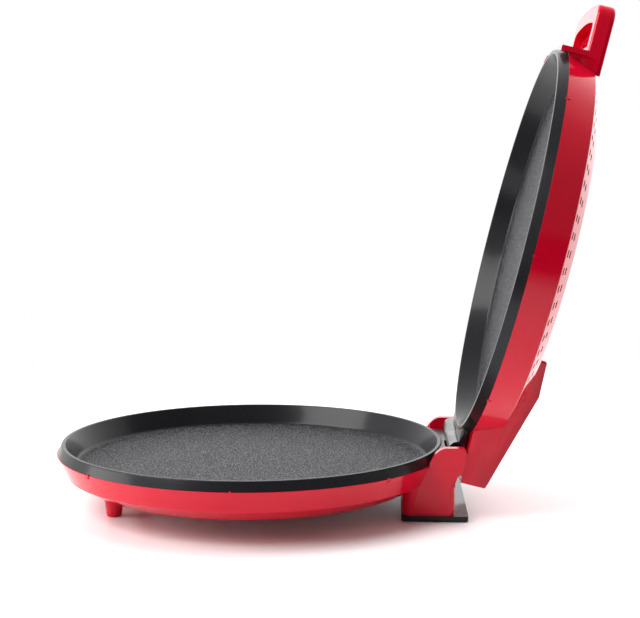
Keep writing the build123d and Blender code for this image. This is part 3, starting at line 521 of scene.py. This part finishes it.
@dataclass
class Finishes:
    """Every finish of the object, made once."""

    hinge: Hinge
    rim_gap: float = 0.6 * MM
    floor_radius: float = 145.0 * MM
    floor_depth: float = 18.0 * MM
    made: dict[str, bpy.types.Material] = field(default_factory=dict)

    def build(self) -> None:
        """Make the materials and keep them by slot, with one non-stick finish for each dish."""
        finishes = {**self._mouldings(), **self._metals(), **self._coatings()}
        self.made = {slot: finish.material() for slot, finish in finishes.items()}

    def _mouldings(self) -> dict[str, GlossMoulding | MattMoulding | LampLens]:
        """The plastics, rubbers and ceramics.

        Returns:
            The finishes by slot.
        """
        return {
            "red_plastic": GlossMoulding("red_gloss", (0.64, 0.003, 0.024), (0.58, 0.0025, 0.02)),
            "black_plastic": GlossMoulding(
                "black_gloss", (0.008, 0.008, 0.009), (0.014, 0.014, 0.015)
            ),
            "rubber": MattMoulding("foot_rubber", (0.02, 0.02, 0.02), (0.035, 0.035, 0.035), 0.8),
            "black_rubber": MattMoulding(
                "sleeve_rubber", (0.012, 0.012, 0.012), (0.02, 0.02, 0.02)
            ),
            "ceramic": MattMoulding("ceramic_bead", (0.8, 0.77, 0.7), (0.7, 0.66, 0.58), 0.7),
            "dark_phenolic": MattMoulding(
                "dark_phenolic", (0.03, 0.022, 0.018), (0.05, 0.035, 0.025), 0.5
            ),
            "pale_plastic": MattMoulding(
                "pale_moulding", (0.78, 0.75, 0.68), (0.7, 0.66, 0.58), 0.5
            ),
            "lead_insulation": MattMoulding(
                "lead_braid", (0.74, 0.7, 0.62), (0.55, 0.52, 0.46), 0.8, 1800.0
            ),
            "lamp_red": LampLens("red_lens", (0.55, 0.03, 0.02)),
            "lamp_green": LampLens("green_lens", (0.03, 0.38, 0.1)),
            "lamp_glass": LampLens("lamp_glass", (0.8, 0.5, 0.3)),
        }

    def _metals(self) -> dict[str, GlossMoulding | PlatedMetal]:
        """The bare metals, and the painted screws.

        Returns:
            The finishes by slot.
        """
        return {
            "steel": PlatedMetal("zinc_plate", (0.62, 0.62, 0.61), (0.4, 0.38, 0.33)),
            "red_steel": GlossMoulding(
                "painted_screw", (0.45, 0.003, 0.018), (0.38, 0.0025, 0.015), 0.2
            ),
            "element_steel": PlatedMetal(
                "element_tube", (0.3, 0.29, 0.28), (0.16, 0.11, 0.08), 0.45
            ),
            "reflector_aluminium": PlatedMetal(
                "bright_sheet", (0.82, 0.82, 0.83), (0.6, 0.6, 0.58), 0.25
            ),
            "brass": PlatedMetal("terminal_brass", (0.78, 0.6, 0.28), (0.45, 0.3, 0.14)),
        }

    def _coatings(self) -> dict[str, NonStick]:
        """The two dishes' coatings, each centred on its own rim.

        Returns:
            The finishes by slot.
        """
        base_rim = self.hinge.rim_centre()
        lid_rim = self.hinge.opened() @ (base_rim + UPRIGHT * self.rim_gap)
        floor = (self.floor_radius, self.floor_depth)
        return {
            "base_nonstick": NonStick("base_nonstick", base_rim, 0.0, *floor),
            "lid_nonstick": NonStick("lid_nonstick", lid_rim, -self.hinge.open_angle, *floor),
        }

    def of_node(self, node: str, slot: str) -> bpy.types.Material:
        """The finish of a node, given its slot.

        Args:
            node: The node's name.
            slot: The record's material slot.

        Returns:
            The material.
        """
        if slot == "nonstick_aluminium":
            slot = "lid_nonstick" if node.startswith("lid") else "base_nonstick"
        return self.made[slot]

    def dress_nodes(self) -> None:
        """Give every CAD node the finish of its slot."""
        slots = {part["node"]: part["material_slot"] for part in frame["record"]["subparts"]}
        for name, node in frame["nodes"].items():
            node.data.materials.clear()
            node.data.materials.append(self.of_node(name, slots[name]))


@dataclass(frozen=True)
class TurningAxis:
    """The axis that a turned wall goes round, and how shading is evened out around it."""

    centre: Vector
    direction: Vector
    least_radius: float = 20.0 * MM
    widest_stray: float = math.cos(math.radians(8.0))
    flat_limit: float = 0.02
    ring_step: float = 0.02 * MM
    soft_angle: float = math.radians(32.0)

    def even_normals(self, mesh: bpy.types.Mesh) -> None:
        """Give the corners of turned faces the mean normal of their whole ring.

        Args:
            mesh: The mesh, whose other corners keep their normals.
        """
        normals = np.array([corner.vector for corner in mesh.corner_normals])
        places = np.array([vertex.co for vertex in mesh.vertices])
        corner_vertex = np.array([loop.vertex_index for loop in mesh.loops])
        face_sizes = [face.loop_total for face in mesh.polygons]
        corner_face = np.repeat(np.arange(len(mesh.polygons)), face_sizes)
        area = np.array([face.area for face in mesh.polygons])
        turned, outward, lift = self._turned_faces(mesh)
        spoke, along, reach = self._split(places[corner_vertex])
        chosen = np.flatnonzero(turned[corner_face])
        for ring in self._rings(chosen, reach, along):
            faces = corner_face[ring]
            mean_out, mean_lift = self._mean_slope(outward[faces], lift[faces], area[faces])
            normals[ring] = spoke[ring] * mean_out[:, None] + np.array(self.direction) * mean_lift[:, None]
        mesh.normals_split_custom_set([Vector(normal) for normal in normals])

    def _turned_faces(self, mesh: bpy.types.Mesh) -> tuple[np.ndarray, np.ndarray, np.ndarray]:
        """Find the faces that belong to a turned wall, and how they slope.

        Args:
            mesh: The mesh.

        Returns:
            For each face, whether it is turned, and its normal's outward and axial parts.
        """
        normal = np.array([face.normal for face in mesh.polygons])
        spoke, _, reach = self._split(np.array([face.center for face in mesh.polygons]))
        outward = np.einsum("ij,ij->i", normal, spoke)
        lift = normal @ np.array(self.direction)
        sideways = np.sqrt(np.maximum(1.0 - lift ** 2, 0.0))
        flat = sideways < self.flat_limit
        facing = (np.abs(outward) > self.widest_stray * sideways) & (reach > self.least_radius)
        outward = np.where(flat, 0.0, np.copysign(sideways, outward))
        return flat | facing, outward, lift

    def _rings(self, chosen: np.ndarray, reach: np.ndarray, along: np.ndarray) -> list[np.ndarray]:
        """Group corners that lie on one circle about the axis.

        Args:
            chosen: The corners to group.
            reach: Every corner's distance from the axis.
            along: Every corner's place along the axis.

        Returns:
            The corners of each ring.
        """
        places = np.round(np.stack([reach, along], axis=1) / self.ring_step).astype(np.int64)
        _, ring_of = np.unique(places[chosen], axis=0, return_inverse=True)
        ring_of = ring_of.reshape(-1)
        order = np.argsort(ring_of, kind="stable")
        starts = np.flatnonzero(np.diff(ring_of[order])) + 1
        return np.split(chosen[order], starts)

    def _mean_slope(
        self, outward: np.ndarray, lift: np.ndarray, area: np.ndarray
    ) -> tuple[np.ndarray, np.ndarray]:
        """Average each corner's slope with those of its ring that differ little from it.

        Args:
            outward: The outward part of each corner's face normal.
            lift: The axial part of each corner's face normal.
            area: Each corner's face area, which is its weight.

        Returns:
            The outward and axial parts of the mean normals, of unit length.
        """
        angle = np.arctan2(lift, outward)
        apart = np.abs((angle[:, None] - angle[None, :] + np.pi) % (2 * np.pi) - np.pi)
        weight = np.where(apart < self.soft_angle, area[None, :], 0.0)
        mean_out = weight @ outward
        mean_lift = weight @ lift
        length = np.hypot(mean_out, mean_lift)
        return mean_out / length, mean_lift / length

    def _split(self, points: np.ndarray) -> tuple[np.ndarray, np.ndarray, np.ndarray]:
        """Split points into unit spokes, lengths along the axis and distances from it.

        Args:
            points: The points, one in each row.

        Returns:
            The spokes, the lengths and the distances.
        """
        axis = np.array(self.direction)
        offset = points - np.array(self.centre)
        along = offset @ axis
        spoke = offset - along[:, None] * axis
        reach = np.linalg.norm(spoke, axis=1)
        return spoke / np.maximum(reach, NEARLY_ZERO)[:, None], along, reach


@dataclass
class SmoothedNode:
    """A CAD node's own shape as one merged mesh with even shading, and soft edges if asked."""

    node: str
    body: Body
    slot: str
    axis: TurningAxis | None = None
    soften: float = 0.0
    segments: int = 2
    merge_distance: float = 0.01 * MM
    edge_angle: float = math.radians(32.0)
    flatness: float = math.radians(0.05)
    area_weight: int = 60

    def build(self, finishes: Finishes) -> bpy.types.Object:
        """Copy, merge, soften and dress the node.

        Args:
            finishes: Where its material comes from.

        Returns:
            The new piece.
        """
        source = frame["nodes"][self.node]
        piece = bpy.data.objects.new(f"{self.node}_skin", source.data.copy())
        bpy.context.scene.collection.objects.link(piece)
        self._merge(piece)
        if self.soften:
            self._bevel(piece)
        self._shade(piece)
        piece.data.materials.clear()
        piece.data.materials.append(finishes.of_node(self.node, self.slot))
        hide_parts(self.node)
        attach(piece, self.body.value)
        LOG.info("%s: %d faces", piece.name, len(piece.data.polygons))
        return piece

    def _merge(self, piece: bpy.types.Object) -> None:
        """Join corners that meet and, where edges will be softened, triangles that lie flat.

        Args:
            piece: The piece, which becomes the active object.
        """
        select_only(piece)
        bpy.ops.object.mode_set(mode="EDIT")
        bpy.ops.mesh.select_all(action="SELECT")
        bpy.ops.mesh.remove_doubles(threshold=self.merge_distance)
        if self.soften:
            bpy.ops.mesh.dissolve_limited(angle_limit=self.flatness)
        bpy.ops.object.mode_set(mode="OBJECT")

    def _bevel(self, piece: bpy.types.Object) -> None:
        """Round the piece's sharp edges.

        Args:
            piece: The active piece.
        """
        bevel = piece.modifiers.new("soften", "BEVEL")
        bevel.width = self.soften
        bevel.segments = self.segments
        bevel.limit_method = "ANGLE"
        bevel.angle_limit = self.edge_angle
        bevel.use_clamp_overlap = True
        bpy.ops.object.modifier_apply(modifier=bevel.name)

    def _shade(self, piece: bpy.types.Object) -> None:
        """Shade the piece smooth between its sharp edges.

        Args:
            piece: The active piece.
        """
        bpy.ops.object.shade_smooth_by_angle(angle=self.edge_angle)
        even = piece.modifiers.new("even_normals", "WEIGHTED_NORMAL")
        even.keep_sharp = True
        even.weight = self.area_weight
        bpy.ops.object.modifier_apply(modifier=even.name)
        if self.axis:
            self.axis.even_normals(piece.data)


@dataclass
class BaseUnit:
    """The lower half: its housing, dish and foot plate."""

    axis: TurningAxis
    plate_edge: float = 0.4 * MM

    def build(self, finishes: Finishes) -> None:
        """Build the lower half's shells.

        Args:
            finishes: Where the materials come from.
        """
        SmoothedNode("base_housing", Body.BASE, "red_plastic", self.axis).build(finishes)
        SmoothedNode("base_dish", Body.BASE, "nonstick_aluminium", self.axis).build(finishes)
        SmoothedNode("foot_plate", Body.BASE, "black_plastic", soften=self.plate_edge).build(finishes)


@dataclass
class LidUnit:
    """The upper half: its housing, dish and handle."""

    axis: TurningAxis
    handle_edge: float = 0.5 * MM

    def build(self, finishes: Finishes) -> None:
        """Build the upper half's shells.

        Args:
            finishes: Where the materials come from.
        """
        SmoothedNode("lid_housing", Body.LID, "red_plastic", self.axis).build(finishes)
        SmoothedNode("lid_dish", Body.LID, "nonstick_aluminium", self.axis).build(finishes)
        SmoothedNode("handle_insert", Body.LID, "red_plastic", soften=self.handle_edge).build(finishes)


@dataclass(frozen=True)
class Softbox:
    """One soft rectangular light, with its size in metres and its power in watts."""

    name: str
    place: Point
    size: Pair
    power: float
    mirrored: bool
    target: Point = (0.0, 0.0, 0.0)

    def add(self) -> None:
        """Add the light, which shows in glossy surfaces only if it is mirrored."""
        data = bpy.data.lights.new(self.name, "AREA")
        data.shape = "RECTANGLE"
        data.size, data.size_y = self.size
        data.energy = self.power
        light = bpy.data.objects.new(self.name, data)
        bpy.context.scene.collection.objects.link(light)
        light.location = self.place
        light.visible_glossy = self.mirrored
        aim = Vector(self.target) - Vector(self.place)
        light.rotation_mode = "QUATERNION"
        light.rotation_quaternion = aim.to_track_quat("-Z", "Y")
        LOG.info("%s: %g W", self.name, self.power)


@dataclass(frozen=True)
class Studio:
    """The camera, the pale floor, the white surround and the soft lights."""

    rim_centre: Vector
    camera_from_rim: Point = (1064.7 * MM, 111.1 * MM, 219.2 * MM)
    pitch: float = math.radians(5.981)
    yaw: float = math.radians(-2.963)
    focal_pixels: float = 1306.3
    image_width: int = 640
    sensor: float = 36.0
    clip_near: float = 0.01
    clip_far: float = 50.0
    floor_size: float = 4.0
    floor_near: float = 0.55
    floor_far: float = 0.85
    floor_colour: Colour = (0.93, 0.93, 0.93)
    floor_roughness: float = 0.3
    floor_ior: float = 1.4
    behind_light: float = 1.4
    right_light: float = 0.3
    all_round_light: float = 0.06
    overhead_light: float = 0.15
    overhead_behind: float = 0.6
    overhead_span: Pair = (0.5, -0.5)
    horizon_span: Pair = (-0.06, 0.02)
    softboxes: tuple[Softbox, ...] = (
        Softbox("key_softbox", (0.6, -1.15, 1.25), (1.3, 1.0), 30.0, True),
        Softbox("top_softbox", (-0.2, 0.1, 1.8), (1.4, 1.2), 13.0, False),
        Softbox("back_softbox", (-0.5, 1.3, 1.1), (1.0, 0.8), 11.0, False, (0.0, 0.25, 0.0)),
        Softbox("left_softbox", (0.2, -1.6, 0.35), (0.9, 0.5), 7.0, True, (0.0, 0.0, 0.08)),
    )

    def build(self) -> None:
        """Place the camera, then the floor, the surround and the lights."""
        self.place_camera()
        self.lay_floor()
        self.surround()
        for softbox in self.softboxes:
            softbox.add()

    def place_camera(self) -> None:
        """Set the camera at the photograph's view."""
        data = bpy.data.cameras.new("photo_camera")
        data.sensor_width = self.sensor
        data.lens = self.sensor * self.focal_pixels / self.image_width
        data.clip_start = self.clip_near
        data.clip_end = self.clip_far
        camera = bpy.data.objects.new("photo_camera", data)
        bpy.context.scene.collection.objects.link(camera)
        camera.location = Vector(self.camera_from_rim) + self.rim_centre
        level = math.cos(self.pitch)
        forward = Vector((-level * math.cos(self.yaw), level * math.sin(self.yaw), -math.sin(self.pitch)))
        camera.rotation_mode = "QUATERNION"
        camera.rotation_quaternion = forward.to_track_quat("-Z", "Y")
        bpy.context.scene.camera = camera

    def lay_floor(self) -> None:
        """Add the pale floor, which fades into the white around it."""
        bpy.ops.mesh.primitive_plane_add(size=self.floor_size, location=(0.0, 0.0, 0.0))
        floor = bpy.context.object
        floor.name = "studio_floor"
        graph = ShaderGraph.of_material("studio_floor")
        x, y, _ = graph.split(graph.coordinates())
        radius = (x * x + y * y) ** 0.5
        material = graph.surface(
            Base_Color=self.floor_colour,
            Roughness=self.floor_roughness,
            IOR=self.floor_ior,
            Alpha=radius.ramp(self.floor_far, self.floor_near),
        )
        floor.data.materials.append(material)

    def surround(self) -> None:
        """Set a white world that is bright behind, above and to the left, and dim in front."""
        world = bpy.data.worlds.new("studio")
        bpy.context.scene.world = world
        graph = ShaderGraph(world)
        direction = graph.node("ShaderNodeTexCoord").outputs["Generated"]
        x, y, z = graph.split(direction)
        behind = (x * -1.0).clamped()
        left = (y * -1.0).clamped()
        right = y.clamped()
        overhead = z.clamped() * (x.ramp(*self.overhead_span) * self.overhead_behind + self.overhead_light)
        sky = overhead + left * left + right * right * self.right_light + self.all_round_light
        level = behind * behind * self.behind_light + behind * right * self.behind_light
        level = level + sky * z.ramp(*self.horizon_span)
        rays = graph.node("ShaderNodeLightPath")
        seen = Value(graph, rays.outputs["Is Camera Ray"])
        strength = level * (1.0 - seen) + seen
        white = graph.node(
            "ShaderNodeBackground", {}, {"Color": (1.0, 1.0, 1.0, 1.0), "Strength": strength}
        )
        graph.node("ShaderNodeOutputWorld", {}, {"Surface": white.outputs[0]})


def select_only(piece: bpy.types.Object) -> None:
    """Select one object and make it the active one.

    Args:
        piece: The object.
    """
    bpy.ops.object.select_all(action="DESELECT")
    piece.select_set(True)
    bpy.context.view_layer.objects.active = piece


def main() -> None:
    """Build every piece in order, then the studio."""
    logging.basicConfig(level=logging.INFO)
    bpy.context.scene.view_settings.view_transform = "Standard"
    hinge = Hinge()
    rim_centre = hinge.rim_centre()
    opened = hinge.opened()
    finishes = Finishes(hinge)
    finishes.build()
    finishes.dress_nodes()
    BaseUnit(TurningAxis(rim_centre, UPRIGHT)).build(finishes)
    LidUnit(TurningAxis(opened @ rim_centre, opened.to_3x3() @ UPRIGHT)).build(finishes)
    Studio(rim_centre).build()


if __name__ == "__main__":
    main()
